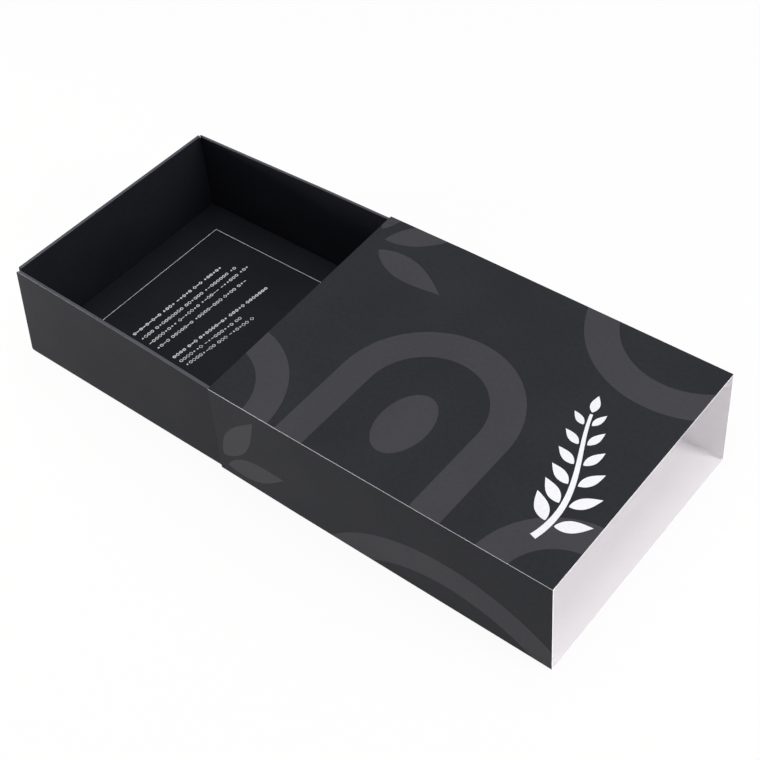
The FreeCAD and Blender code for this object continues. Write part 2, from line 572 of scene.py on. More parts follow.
@dataclass(frozen=True)
class Pebble:
    """An ellipse, turned by an angle in degrees."""

    centre: Point
    length: float
    width: float
    angle: float = 0.0
    steps: int = 40

    def outlines(self) -> list[Outline]:
        """The ellipse."""
        turn = Matrix.Rotation(math.radians(self.angle), 2)
        spots = [Vector((x * self.length, y * self.width)) for x, y in circle((0, 0), 0.5, self.steps)]
        return [[turn @ spot + Vector(self.centre) for spot in spots]]


@dataclass(frozen=True)
class Stroke:
    """A brush stroke along a curve, its width swelling and thinning."""

    points: tuple[Point, Point, Point, Point]
    widths: tuple[float, float]
    steps: int = 40

    def at(self, share: float) -> tuple[Vector, Vector]:
        """The place at a share of the way along the Bezier curve, and the way it heads there."""
        a, b, c, d = (Vector(point) for point in self.points)
        u, t = 1 - share, share
        spot = a * u**3 + b * 3 * u * u * t + c * 3 * u * t * t + d * t**3
        ahead = (b - a) * u * u + (c - b) * 2 * u * t + (d - c) * t * t
        return spot, ahead.normalized()

    def outlines(self) -> list[Outline]:
        """One outline, along one side of the curve and back along the other."""
        left, right = [], []
        for i in range(self.steps + 1):
            share = i / self.steps
            spot, ahead = self.at(share)
            half = (self.widths[0] * (1 - share) + self.widths[1] * share) / 2
            side = Vector((-ahead.y, ahead.x)) * half
            left.append(spot + side)
            right.append(spot - side)
        return [left + right[::-1]]


@dataclass(frozen=True)
class BeadRow:
    """A row of small beads in groups: rings, dots, lozenges and dashes, an ornament as fine as small print.

    The groups and the beads in them are drawn by lot.
    """

    start: Point
    end: Point
    bead: float
    weight: float
    seed: int

    # How many beads a group has, the pitch in beads' widths, and the gap after a group in pitches.
    GROUP = (3, 9)
    PITCH = 1.12
    GAP = 0.6
    # The draw below which a bead is a ring, a dot or a lozenge. Above them all it is a dash.
    RING, DOT, LOZENGE = 0.5, 0.68, 0.88
    # How far a dot, a lozenge and a dash reach from their middle, in beads' widths.
    DOT_REACH, LOZENGE_REACH, DASH_REACH = 0.16, 0.62, 0.36
    # How many sides a ring and a dot have, and each round end of a dash.
    RING_SIDES, DOT_SIDES, CAP_SIDES = 18, 12, 5

    def outlines(self) -> list[Outline]:
        """The row's beads, with a gap after each group."""
        lot = random.Random(self.seed)
        along = Vector(self.end) - Vector(self.start)
        ahead = along.normalized()
        pitch = self.bead * self.PITCH
        outlines: list[Outline] = []
        at = 0.0
        left = lot.randint(*self.GROUP)
        while at < along.length:
            if left:
                outlines += self._bead(lot.random(), Vector(self.start) + ahead * at, ahead)
                left -= 1
                at += pitch
            else:
                left = lot.randint(*self.GROUP)
                at += pitch * self.GAP
        return outlines

    def _bead(self, draw: float, spot: Vector, ahead: Vector) -> list[Outline]:
        """One bead of the row.

        Args:
            draw: The number drawn for it, which says what kind it is.
            spot: Its middle.
            ahead: The way the row runs.

        Returns:
            Its outlines.
        """
        line = self.bead * self.weight
        up = Vector((-ahead.y, ahead.x))
        if draw < self.RING:
            return Ring(spot, (self.bead - line) / 2, line, self.RING_SIDES).outlines()
        if draw < self.DOT:
            return [circle(spot, self.bead * self.DOT_REACH + line / 2, self.DOT_SIDES)]
        if draw < self.LOZENGE:
            reach = self.bead * self.LOZENGE_REACH
            return [[spot + way * r for way in (ahead, up, -ahead, -up)] for r in (reach, reach - line)]
        reach = ahead * (self.bead * self.DASH_REACH)
        heading = math.degrees(math.atan2(ahead.y, ahead.x))
        far = arc_points(spot + reach, line / 2, heading - 90, heading + 90, self.CAP_SIDES)
        return [far + arc_points(spot - reach, line / 2, heading + 90, heading + 270, self.CAP_SIDES)]


def filled(name: str, outlines: Sequence[Outline], depth: float = 0.0) -> Piece:
    """A flat mesh that fills these outlines, one inside another being a hole.

    Args:
        name: The object's name.
        outlines: Closed outlines in the plane z = 0.
        depth: How far it is drawn out to each side of the plane, for a film with a thickness.

    Returns:
        The mesh object.
    """
    curve = bpy.data.curves.new(name, "CURVE")
    curve.dimensions = "2D"
    curve.fill_mode = "BOTH"
    curve.extrude = depth
    for outline in outlines:
        spline = curve.splines.new("POLY")
        spline.points.add(len(outline) - 1)
        for point, (x, y) in zip(spline.points, outline):
            point.co = (x, y, 0.0, 1.0)
        spline.use_cyclic_u = True
    piece = bpy.data.objects.new(name, curve)
    bpy.context.scene.collection.objects.link(piece)
    activate(piece)
    bpy.ops.object.convert(target="MESH")
    return bpy.context.view_layer.objects.active


def ink_film(name: str, outlines: Sequence[Outline], height: float) -> Piece:
    """White ink on a level face: a film that stands a little proud of it, and is keyed into it by as much.

    Args:
        name: The piece's name.
        outlines: What is printed, in the part's own x and y. One outline inside another is a hole.
        height: The height of the face that it is printed on.

    Returns:
        The film, dressed.
    """
    film = filled(name, outlines, depth=INK)
    film.location.z = height
    apply_place(film)
    merge_doubles(film)
    with editing(film):
        bpy.ops.mesh.normals_make_consistent(inside=False)
    dress(film, WHITE_INK)
    return film


# Folded strips


class FoldedStrip:
    """A strip of card with parallel folds along X, drawn by its printed face.

    The first panel is a plane. From either of its long edges a pen then draws flat runs and folds, seen
    along X with Y to the right and Z up. Its methods give the strip back, to go on drawing.
    """

    def __init__(self, name: str, half: float, length: float, start: Point, heading: float) -> None:
        """Adds the first panel.

        Args:
            name: The piece's name.
            half: Half the strip's length along X.
            length: The panel's height along its heading.
            start: The y and z that the panel starts at.
            heading: The way it runs, in degrees from +Y towards +Z. Its printed side is on the left.
        """
        self.first = (Vector(start), heading, length)
        self.pen, self.heading = Vector(start), heading
        middle = self.pen + self._ahead() * (length / 2)
        turn = (math.radians(heading), 0, 0)
        plane = bpy.ops.mesh.primitive_plane_add
        self.piece = added(name, plane, size=1, location=(0, *middle), rotation=turn)
        self.piece.scale = (2 * half, length, 1)
        apply_place(self.piece)

    def _ahead(self) -> Vector:
        """The heading as a unit vector in y and z."""
        angle = math.radians(self.heading)
        return Vector((math.cos(angle), math.sin(angle)))

    def _editing_pen_edge(self) -> AbstractContextManager[None]:
        """Edit mode on the edge that the pen is at."""
        return editing(self.piece, lambda vertex: (vertex.co.yz - self.pen).length < WELD)

    def from_far_edge(self) -> "FoldedStrip":
        """Puts the pen on the edge that the first panel ends at, heading on."""
        start, self.heading, length = self.first
        self.pen = start + self._ahead() * length
        return self

    def from_near_edge(self) -> "FoldedStrip":
        """Puts the pen on the edge that the first panel starts at, heading back."""
        self.pen, heading, _ = self.first
        self.heading = heading + 180
        return self

    def narrow(self, by: float) -> "FoldedStrip":
        """Draws both ends of the pen's edge in by a distance."""
        with self._editing_pen_edge():
            mesh = bmesh.from_edit_mesh(self.piece.data)
            reach = max(vertex.co.x for vertex in mesh.verts if vertex.select)
            bpy.ops.transform.resize(value=((reach - by) / reach, 1, 1), center_override=(0, 0, 0))
        return self

    def run(self, length: float) -> "FoldedStrip":
        """Draws a flat run of this length."""
        step = self._ahead() * length
        with self._editing_pen_edge():
            bpy.ops.mesh.extrude_region_move(TRANSFORM_OT_translate={"value": (0, *step)})
        self.pen = self.pen + step
        return self

    def fold(self, turn: Turn, radius: float) -> "FoldedStrip":
        """Bends the strip by a quarter turn.

        Args:
            turn: Which way the pen turns.
            radius: The radius of the printed face.

        Returns:
            The strip.
        """
        ahead = self._ahead()
        centre = self.pen + Vector((-ahead.y, ahead.x)) * (turn.value * radius)
        angle = math.radians(-90 * turn.value)
        with self._editing_pen_edge():
            bpy.ops.mesh.spin(steps=FOLD_STEPS, angle=angle, center=(0, *centre), axis=(1, 0, 0))
        self.pen = centre + ahead * radius
        self.heading += 90 * turn.value
        return self

    def shift(self, test: Test, by: Place) -> "FoldedStrip":
        """Moves the vertices whose place passes a test."""
        with editing(self.piece, lambda vertex: test(vertex.co)):
            bpy.ops.transform.translate(value=by)
        return self

    def round_corners(self, radius: float, height: float) -> "FoldedStrip":
        """Rounds the two corners of the strip at this height, as the die cuts them."""
        with editing(self.piece, lambda vertex: abs(vertex.co.z - height) < WELD):
            bpy.ops.mesh.bevel(offset=radius, offset_type="OFFSET", segments=CORNER_STEPS, affect="VERTICES")
        return self

    def weld(self) -> Piece:
        """Merges what the pen drew twice, and gives the piece."""
        merge_doubles(self.piece)
        return self.piece


def mark_accent(piece: Piece, test: Test) -> None:
    """Puts the faces whose middles pass a test in the accent slot."""
    for polygon in piece.data.polygons:
        if test(polygon.center):
            polygon.material_index = Face.ACCENT.value


# Sleeve


@dataclass
class Sleeve:
    """The sleeve: one laminated blank, folded four times and glued along its front top edge.

    The blank is laid out flat first, its printed side up, with x along the slide and the girth running
    towards -y from the tip of the glue flap: flap, front, bottom, back and top.
    """

    mouth: float
    length: float
    width: float
    height: float
    card: float
    fold_radius: float
    flap_width: float
    flap_taper: float = 4.0 * MM
    glue_line: float = 0.03 * MM
    band: float = 17.0 * MM
    trim_room: float = 120 * MM
    bead_radius: float = 0.46 * MM
    bead_inset: float = 0.05 * MM
    bead_round: float = 0.276 * MM
    bead_sides: int = 16
    bead_steps: int = 3

    NODES = (
        "sleeve_glue_flap",
        "sleeve_front_panel",
        "sleeve_bottom_panel",
        "sleeve_back_panel",
        "sleeve_top_panel",
    )
    RACK_STEPS = 4
    # How far corners have given, in mm, by their station from the mouth and the signs of their y and z: the
    # sleeve is racked at its mouth, and the open end's far top corner stands back.
    GIVE = {
        (0, -1, -1): (0.0, 0.3, 0.0),
        (0, 1, -1): (0.0, -0.3, 0.0),
        (0, -1, 1): (3.8, 0.3, 0.0),
        (0, 1, 1): (-2.6, -0.3, -0.5),
        (RACK_STEPS, 1, 1): (-0.7, 0.0, 0.0),
    }
    # The sprig, in mm: its stem, where on it the pairs of leaves stand, how they spread in degrees and
    # shrink from one pair to the next, how far off the stem they start, and the leaf at the stem's tip.
    STEM = Stroke(((152, -57), (160, -30), (141, -8), (134, 16)), (3.4, 1.5))
    PAIRS = 6
    FIRST_PAIR, PAIR_PITCH = 0.1, 0.155
    SPREAD, SPREAD_LESS = 52, 3
    SHRINK = 0.09
    STALK = 3.2
    LEAF_LENGTH, LEAF_WIDTH = 17, 6.6
    TIP_LEAF_FROM, TIP_LEAF_TO, TIP_LEAF_WIDTH = 1.2, 12, 4.6

    @classmethod
    def from_frame(cls) -> "Sleeve":
        """Reads the sleeve's sizes off its packed panels."""
        top_low, top_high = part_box("sleeve_top_panel")
        bottom_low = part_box("sleeve_bottom_panel")[0]
        flap_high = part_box("sleeve_glue_flap")[1]
        return cls(
            mouth=top_low.x,
            length=top_high.x - top_low.x,
            width=-2 * top_low.y,
            height=top_high.z - INK,
            card=top_high.z - top_low.z,
            fold_radius=bottom_low.y - top_low.y,
            flap_width=flap_high.y - bottom_low.y,
        )

    @property
    def chord(self) -> float:
        """The width of one facet of a fold."""
        return 2 * self.fold_radius * math.sin(math.pi / 4 / FOLD_STEPS)

    @property
    def runs(self) -> tuple[float, ...]:
        """The flats of the front, bottom and back panels, and of the top one up to its raw front edge."""
        back, bottom = self.height - 2 * self.fold_radius, self.width - 2 * self.fold_radius
        return (back - self.card - self.glue_line, bottom, back, bottom + self.fold_radius)

    def _fold_starts(self) -> list[float]:
        """Where along the girth each of the four folds starts, and last where the blank ends."""
        starts = [self.flap_width]
        for run in self.runs:
            starts.append(starts[-1] + FOLD_STEPS * self.chord + run)
        return starts

    def _bend_lines(self) -> list[float]:
        """Every line along the girth that the folds bend the blank at."""
        folds = self._fold_starts()[:-1]
        return [start + k * self.chord for start in folds for k in range(FOLD_STEPS + 1)]

    def _panel(self, fold: int, zero: float, way: int = 1) -> Callable[[float, float], Point]:
        """Lays one panel's places out on the flat blank.

        Args:
            fold: The number of the fold that the panel starts at.
            zero: How far past that fold the panel's y or z is 0.
            way: 1 where that falls along the girth, -1 where it grows.

        Returns:
            What turns x past the mouth, and y or z as in the part, both in mm, to a point of the blank.
        """
        edge = self._fold_starts()[fold] + FOLD_STEPS * self.chord + zero
        return lambda x, across: (x * MM, way * across * MM - edge)

    def _pattern(self) -> list[Outline]:
        """The tone-on-tone pattern: arches, rings, leaves and pebbles, laid over the whole blank."""
        half, band = self.width / 2 - self.fold_radius, self.band
        front = self._panel(0, self.fold_radius + self.runs[0])
        bottom = self._panel(1, half, way=-1)
        back = self._panel(2, -self.fold_radius, way=-1)
        top = self._panel(3, half)
        motifs = (
            Arch(top(95, -24), 40 * MM, band, 80 * MM),
            Pebble(top(95, -38), 26 * MM, 40 * MM),
            Ring(top(178, 92), 50 * MM, band),
            Ring(top(-8, -78), 41 * MM, band),
            Ring(top(207, -80), 36 * MM, band),
            Leaf(top(10, 50), top(56, 40), 15 * MM),
            Leaf(top(8, 58), top(44, 88), 15 * MM),
            Leaf(top(2, 64), top(-2, 110), 14 * MM),
            Leaf(front(6, 7), front(46, 22), 14 * MM),
            Leaf(front(4, 14), front(30, 54), 14 * MM),
            ArcBand(front(146, -64), 88 * MM, band, 18, 160),
            Ring(bottom(58, 30), 36 * MM, band),
            Leaf(bottom(128, 6), bottom(176, 14), 16 * MM),
            Leaf(bottom(124, 14), bottom(150, 52), 16 * MM),
            Pebble(back(78, 28), 34 * MM, 20 * MM, 20),
        )
        return [outline for motif in motifs for outline in motif.outlines()]

    def build(self) -> None:
        """Folds the blank, beads its creases and prints the sprig on it."""
        sheet = self._flat_blank()
        self._trim(sheet)
        self._fold(sheet)
        thicken(sheet, self.card)
        self._tell_edges_apart(sheet)
        self._rack(sheet)
        hand_over(sheet, Body.SLEEVE, self.NODES)
        hand_over(self._crease_beads(), Body.SLEEVE)
        hand_over(self._sprig(), Body.SLEEVE)

    def _flat_blank(self) -> Piece:
        """The blank lying flat, with the pattern's shapes cut into its printed face, and room all round."""
        motifs = self._pattern()
        board = rectangle((0, -self._fold_starts()[-1]), (self.length, 0), self.trim_room)
        ground, tint = filled("sleeve_sheet", [board, *motifs]), filled("sleeve_tint", motifs)
        for piece in (ground, tint):
            dress(piece, *SLEEVE_FACES)
        mark_accent(tint, lambda at: True)
        sheet = joined([ground, tint])
        merge_doubles(sheet, WELD)
        return sheet

    def _trim(self, sheet: Piece) -> None:
        """Cuts the blank to its outline, the glue flap's slanted ends included."""
        flap = self.flap_width
        slant = Vector((flap, self.flap_taper)).normalized()
        # A point of each cut, the way its waste lies, and whether it cuts the flap alone.
        cuts = (
            ((0, 0), (-1, 0), False),
            ((self.length, 0), (1, 0), False),
            ((0, 0), (0, 1), False),
            ((0, -self._fold_starts()[-1]), (0, -1), False),
            ((0, -flap), (-slant.x, slant.y), True),
            ((self.length, -flap), (slant.x, slant.y), True),
        )
        for line in self._bend_lines():
            with editing(sheet):
                bpy.ops.mesh.bisect(plane_co=(0, -line, 0), plane_no=(0, 1, 0))
        for place, normal, flap_alone in cuts:
            with editing(sheet, lambda face: not flap_alone or face.calc_center_median().y > -flap, "FACE"):
                bpy.ops.mesh.bisect(plane_co=(*place, 0), plane_no=(*normal, 0), clear_outer=True)

    def _fold(self, sheet: Piece) -> None:
        """Folds the blank from its far end back, each fold a fan of narrow facets, and sets it in place."""
        girth_of = [-vertex.co.y for vertex in sheet.data.vertices]
        full = math.pi / 2 / FOLD_STEPS
        for number, line in reversed(list(enumerate(self._bend_lines()))):
            outermost = number % (FOLD_STEPS + 1) in (0, FOLD_STEPS)
            with editing(sheet, lambda vertex: girth_of[vertex.index] > line + WELD):
                # With no window the rotate operator turns the other way, so its angle has the other sign.
                bpy.ops.transform.rotate(
                    value=-full / 2 if outermost else -full,
                    orient_axis="X",
                    orient_type="GLOBAL",
                    center_override=(0, -line, 0),
                )
        upper = self.height - self.card - self.glue_line
        sheet.location = (self.mouth, self.flap_width + self.fold_radius - self.width / 2, upper)
        apply_place(sheet)

    def _tell_edges_apart(self, sheet: Piece) -> None:
        """Gives the raw edge along the glued seam its own finish, and the other cut edges the plain one."""
        for polygon in sheet.data.polygons:
            if polygon.material_index >= Face.EDGE.value:
                at_seam = abs(polygon.center.y + self.width / 2) < TINY and abs(polygon.normal.y) > FACING
                polygon.material_index = (Face.EDGE_ACCENT if at_seam else Face.EDGE).value

    def _rack(self, piece: Piece) -> None:
        """Draws the mouth round the tray and off square, and the open end's far top corner back."""
        low = Vector((self.mouth, -self.width / 2, 0))
        high = Vector((self.mouth + self.length, self.width / 2, self.height))
        still = (0.0, 0.0, 0.0)
        bend_in_cage(piece, low, high, self.RACK_STEPS, lambda *corner: self.GIVE.get(corner, still))
        smooth_folds(piece)

    def _crease_beads(self) -> Piece:
        """The ridges that creasing raises inside the sleeve, one along each of the three folds that show."""
        inset = self.card + self.bead_inset
        side, upper = self.width / 2 - inset, self.height - inset
        beads = []
        for y, z in ((-side, inset), (side, inset), (side, upper)):
            bead = added(
                "sleeve_crease_beads",
                bpy.ops.mesh.primitive_cylinder_add,
                vertices=self.bead_sides,
                radius=self.bead_radius,
                depth=self.length - 2 * self.card,
                location=(self.mouth + self.length / 2, y, z),
                rotation=(0, math.pi / 2, 0),
            )
            apply_place(bead)
            with editing(bead, lambda face: abs(face.normal.x) > FACING, "FACE"):
                bpy.ops.mesh.bevel(offset=self.bead_round, segments=self.bead_steps)
            beads.append(bead)
        ridges = joined(beads)
        # The ridges are dressed a brighter white than the board: a painted highlight along each crease.
        dress(ridges, CREASE_PAINTED_HIGHLIGHT)
        self._rack(ridges)
        return ridges

    def _sprig(self) -> Piece:
        """A white sprig across the top near the open end: a stem, with leaves that shrink towards its tip."""
        shapes = [self.STEM]
        for number in range(self.PAIRS):
            spot, ahead = self.STEM.at(self.FIRST_PAIR + self.PAIR_PITCH * number)
            size = 1 - self.SHRINK * number
            for side in (-1, 1):
                turn = math.radians(side * (self.SPREAD - self.SPREAD_LESS * number))
                out = Matrix.Rotation(turn, 2) @ ahead
                base = spot + out * self.STALK
                shapes.append(Leaf(base, base + out * self.LEAF_LENGTH * size, self.LEAF_WIDTH * size))
        spot, ahead = self.STEM.at(1.0)
        tip_leaf = (spot + ahead * self.TIP_LEAF_FROM, spot + ahead * self.TIP_LEAF_TO)
        shapes.append(Leaf(*tip_leaf, self.TIP_LEAF_WIDTH))
        outlines = [[(x * MM, y * MM) for x, y in line] for shape in shapes for line in shape.outlines()]
        return ink_film("sleeve_sprig", outlines, self.height)


# Tray


@dataclass
class Tray:
    """The tray: a floor whose four sides fold up, roll over into a rim and come down again inside.

    The walls were pushed in a little at the pull end when the tray was made up, so they lean.
    """

    low: Vector
    high: Vector
    card: float
    wall: float
    fold_radius: float
    rim_radius: float
    end_setback: float
    tuck_width: float
    tab_length: float
    tab_low: float
    tab_high: float
    inner_radius: float = 0.2 * MM
    corner_relief: float = 1.2 * MM
    rim_slant: float = 1.3 * MM
    tab_taper: float = 6.0 * MM
    tab_lead: float = 2.5 * MM
    edge_round: float = 0.06 * MM
    top_setback: float = 0.8 * MM

    PARTS = ("outer_wall", "rim", "inner_wall", "tuck_flap")
    # How much wider than its foot a wall is at the rim, where the roll is looser, in mm.
    LOOSE_RIM = {Side.FRONT: 0.4, Side.INNER_END: 0.0, Side.BACK: 0.0, Side.PULL_END: 0.2}
    # How far a wall's ends are cut back at its upper edge and at its rim, in mm, by the sign of the end.
    CUT_BACK = {
        Side.FRONT: {-1: (0.9, 0.8)},
        Side.INNER_END: {},
        Side.BACK: {1: (0.0, 1.5)},
        Side.PULL_END: {1: (2.0, 0.0), -1: (0.3, 0.0)},
    }
    # How far a long wall's top leans in, in mm, at even steps from the pull end to the inner end.
    SIDE_LEAN = {Side.FRONT: (3.5, 2.8, 1.7, 0.0, 0.0), Side.BACK: (3.5, 2.2, 0.8, 0.0, 0.0)}
    # How far the pull end's top leans in beside each long wall, in mm.
    END_LEAN = {Side.FRONT: 3.6, Side.BACK: 4.9}
    # The share of the rim's roll, from its top down, that takes the rim's lighter colour, partly stretched
    # film and partly painted highlight: on a long wall and on an end.
    STRETCHED_AND_HIGHLIT = (0.6, 0.95)

    @classmethod
    def from_frame(cls) -> "Tray":
        """Reads the tray's sizes off its packed walls, floor and tabs."""
        outer_low, outer_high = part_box("tray_front_outer_wall")
        back_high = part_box("tray_back_outer_wall")[1]
        rim_low, rim_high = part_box("tray_front_rim")
        end_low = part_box("tray_pull_end_outer_wall")[0]
        tuck_low, tuck_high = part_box("tray_front_tuck_flap")
        floor_low, floor_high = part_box("tray_floor")
        tab_low, tab_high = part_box("tray_corner_tab_front_pull")
        return cls(
            low=Vector(outer_low),
            high=Vector((outer_high.x, back_high.y, rim_high.z)),
            card=floor_high.z - floor_low.z,
            wall=rim_high.y - rim_low.y,
            fold_radius=floor_low.y - outer_low.y,
            rim_radius=rim_high.z - rim_low.z,
            end_setback=end_low.y - outer_low.y,
            tuck_width=tuck_high.y - tuck_low.y,
            tab_length=tab_high.x - tab_low.x,
            tab_low=tab_low.z,
            tab_high=tab_high.z,
        )

    @property
    def height(self) -> float:
        """From the underside of the floor to the top of the rim."""
        return self.high.z - self.low.z

    def _halves(self, side: Side) -> tuple[float, float]:
        """Half the tray's size along this side, and half its size across from it."""
        half = (self.high - self.low) / 2
        return (half.y, half.x) if side.is_end else (half.x, half.y)

    def build(self) -> None:
        """Makes the walls and tabs, leans them in at the pull end, and dresses the floor."""
        for side in Side:
            wall = self._wall(side)
            self._finish(wall, side)
            hand_over(wall, Body.DRAWER, [f"tray_{side.word}_{part}" for part in self.PARTS])
        for along, x_sign in (("pull", 1), ("inner", -1)):
            for across, y_sign in (("front", 1), ("back", -1)):
                short = self.CUT_BACK[Side.PULL_END][y_sign][0] * MM if x_sign > 0 else 0.0
                tab = self._corner_tab(f"tray_tab_{across}_{along}", x_sign, y_sign, short)
                hand_over(tab, Body.DRAWER, [f"tray_corner_tab_{across}_{along}"])
        dress(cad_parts["tray_floor"], TRAY_BOARD)
        log.info("tray_floor: the packed node, with the board's finish")

    def _wall(self, side: Side) -> Piece:
        """Draws one wall as if it were the front: its outer face on y = 0, and the tray's floor from z = 0.

        Args:
            side: Its side. A long wall runs from end to end, and an end wall fits between them.

        Returns:
            The wall's printed face.
        """
        half, tuck = self._halves(side)[0], self.inner_radius
        setback, slant = self.top_setback, self.rim_slant
        if side.is_end:
            half, setback, slant = half - self.end_setback, 0.0, 0.0
        else:
            tuck += self.wall - slant - setback
        # The rim slants by a third over its first bend, over its flat and over its second bend.
        third = slant / 3
        edge = self.height - self.rim_radius
        foot = (0.0, self.fold_radius)
        strip = FoldedStrip(f"tray_{side.word}_wall", half, edge - self.fold_radius, foot, heading=90)
        strip.from_far_edge().narrow(setback)
        strip.fold(Turn.RIGHT, self.rim_radius).narrow(third)
        strip.run(self.wall - 2 * self.rim_radius).narrow(third)
        strip.fold(Turn.RIGHT, self.rim_radius).narrow(third)
        strip.run(edge - 2 * self.card - self.inner_radius).narrow(tuck)
        strip.fold(Turn.LEFT, self.inner_radius)
        strip.run(self.tuck_width).narrow(self.tuck_width)
        loose = (0, self.LOOSE_RIM[side] * MM, 0)
        strip.shift(lambda at: at.z > edge - WELD and at.y > self.wall / 2, loose)
        for sign, cuts in self.CUT_BACK[side].items():
            for above, cut in zip((edge - WELD, edge + WELD), cuts):
                strip.shift(lambda at: at.z > above and at.x * sign > half / 2, (-sign * cut * MM, 0, 0))
        strip.round_corners(self.corner_relief, self.fold_radius)
        strip.from_near_edge().fold(Turn.LEFT, self.fold_radius)
        return strip.weld()

    def _finish(self, wall: Piece, side: Side) -> None:
        """Marks the rim's lighter band (stretched film and a painted highlight), gives the wall its card,
        brings it round to its side and leans it.
        """
        # The lighter band covers the top share of the roll. On an end wall it covers only the inner half,
        # where it is a painted highlight along the inner fold.
        above = self.height - self.STRETCHED_AND_HIGHLIT[side.is_end] * self.rim_radius
        beyond = self.wall / 2 if side.is_end else 0
        dress(wall, *TRAY_FACES)
        mark_accent(wall, lambda at: at.z > above and at.y > beyond)
        thicken(wall, self.card, self.edge_round)
        turn = math.radians(90 * side.value)
        out = Matrix.Rotation(turn, 3, "Z") @ Vector((0, -self._halves(side)[1], 0))
        middle = (self.low + self.high) / 2
        wall.location = (middle.x + out.x, middle.y + out.y, self.low.z)
        wall.rotation_euler.z = turn
        self._settle(wall)

    def _corner_tab(self, name: str, x_sign: int, y_sign: int, short: float) -> Piece:
        """A tab that holds a corner: from the end wall round into the long wall's gap.

        Args:
            name: The piece's name.
            x_sign: 1 at the pull end, -1 at the inner end.
            y_sign: 1 at the front, -1 at the back.
            short: How much shorter its end wall is at the top. The top of its fold is cut as much lower.

        Returns:
            The tab, dressed and in place.
        """
        half = (self.tab_high - self.tab_low) / 2
        strip = FoldedStrip(name, half, self.tab_lead, (self.fold_radius, 0.0), heading=0)
        strip.from_far_edge().run(self.tab_length - self.fold_radius - self.tab_lead).narrow(self.tab_taper)
        strip.from_near_edge().fold(Turn.LEFT, self.fold_radius)
        strip.shift(lambda at: at.x > 0 and at.y < self.fold_radius + WELD, (-short, 0, -short))
        tab = strip.weld()
        dress(tab, *TRAY_FACES)
        thicken(tab, self.card, self.edge_round)
        # The strip lies along Y with its printed side up. Stood on end, it runs along X and faces outwards.
        tab.data.transform(Matrix(((0, x_sign, 0, 0), (0, 0, -y_sign, 0), (1, 0, 0, 0), (0, 0, 0, 1))))
        if x_sign * y_sign > 0:
            with editing(tab):
                bpy.ops.mesh.flip_normals()
        corner_x = self.low.x if x_sign > 0 else self.high.x
        wall_y = self.low.y if y_sign > 0 else self.high.y
        gap = self.end_setback - self.fold_radius
        tab.location = (corner_x, wall_y + y_sign * gap, (self.tab_low + self.tab_high) / 2)
        self._settle(tab)
        return tab

    def _settle(self, piece: Piece) -> None:
        """Leans a placed piece in, most at the pull end and not at all where the sleeve holds it square."""
        steps = len(self.SIDE_LEAN[Side.FRONT]) - 1

        def give(station: int, y_sign: int, z_sign: int) -> Place:
            """Draws the upper points in, the long walls' towards the middle and the pull end's along."""
            if z_sign < 0:
                return (0.0, 0.0, 0.0)
            side = Side.BACK if y_sign > 0 else Side.FRONT
            along = max(0.0, 1 - 2 * station / steps) * self.END_LEAN[side]
            return (along, -y_sign * self.SIDE_LEAN[side][station], 0.0)

        apply_place(piece)
        bend_in_cage(piece, self.low, self.high, steps, give)
        smooth_folds(piece)


# Platform


